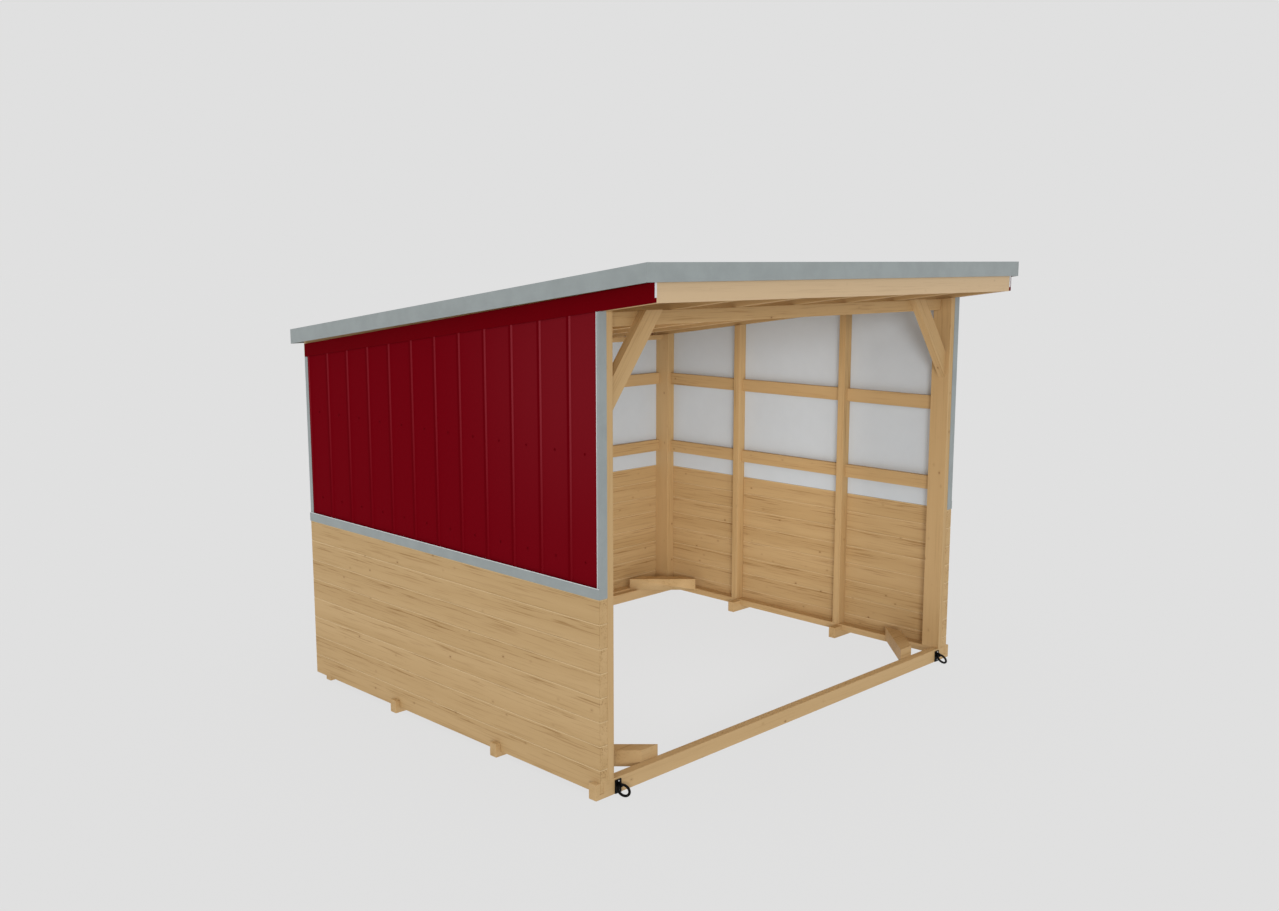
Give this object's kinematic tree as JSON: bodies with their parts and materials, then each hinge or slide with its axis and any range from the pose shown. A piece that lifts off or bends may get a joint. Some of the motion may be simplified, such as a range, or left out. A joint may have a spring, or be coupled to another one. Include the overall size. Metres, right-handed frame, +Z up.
{
  "type": "loafing shed",
  "caption": "Open-fronted field shelter: timber frame on a runner, grooved kickboards, ribbed steel cladding, single-pitch roof over the front, tow rings on the runner.",
  "frame": {"origin": "on the ground, under the middle of the roof outline", "axes": "+X to the right along the open front, +Y from the open front to the back wall, +Z up"},
  "size_m": [3.72, 3.493, 2.9736],
  "materials": {
    "timber": "planed softwood, untreated",
    "red_sheet": "coated ribbed steel sheet, satin",
    "red_board": "planed softwood board, painted red",
    "grey_lining": "flat lining board, light grey",
    "grey_trim": "coated folded steel, satin",
    "roof_sheet": "coated ribbed steel sheet, satin",
    "black_steel": "black painted steel"
  },
  "bodies": {
    "shed": {"front_runner": "timber", "back_skid": "timber", "left_sill": "timber", "right_sill": "timber", "back_sill": "timber", "feet": "timber", "base_braces": "timber", "left_front_post": "timber", "right_front_post": "timber", "left_back_post": "timber", "right_back_post": "timber", "left_wall_posts": "timber", "right_wall_posts": "timber", "back_wall_posts": "timber", "left_girts": "timber", "right_girts": "timber", "back_girts": "timber", "front_beam": "timber", "back_plate": "timber", "left_knee_brace": "timber", "right_knee_brace": "timber", "rafters": "timber", "front_fascia": "timber", "back_fascia": "timber", "left_barge_board": "red_board", "right_barge_board": "red_board", "roof_deck": "timber", "roof_sheet": "roof_sheet", "front_roof_trim": "grey_trim", "back_roof_trim": "grey_trim", "left_roof_trim": "grey_trim", "right_roof_trim": "grey_trim", "left_kickboards": "timber", "right_kickboards": "timber", "back_kickboards": "timber", "wall_linings": "grey_lining", "left_wall_sheet": "red_sheet", "right_wall_sheet": "red_sheet", "back_wall_sheet": "red_sheet", "left_drip_trim": "grey_trim", "right_drip_trim": "grey_trim", "back_drip_trim": "grey_trim", "front_corner_trims": "grey_trim", "back_corner_trims": "grey_trim", "left_tow_lug": "black_steel", "right_tow_lug": "black_steel"},
    "left_tow_ring": {"left_tow_ring": "black_steel"},
    "right_tow_ring": {"right_tow_ring": "black_steel"}
  },
  "joints": [
    {"name": "left_ring_swing", "type": "hinge", "parent": "shed", "child": "left_tow_ring", "pos_m": [-1.665, -1.3455, 0.054], "axis": [-1, 0, 0], "range_deg": [0, 115]},
    {"name": "right_ring_swing", "type": "hinge", "parent": "shed", "child": "right_tow_ring", "pos_m": [1.665, -1.3455, 0.054], "axis": [-1, 0, 0], "range_deg": [0, 115]}
  ]
}
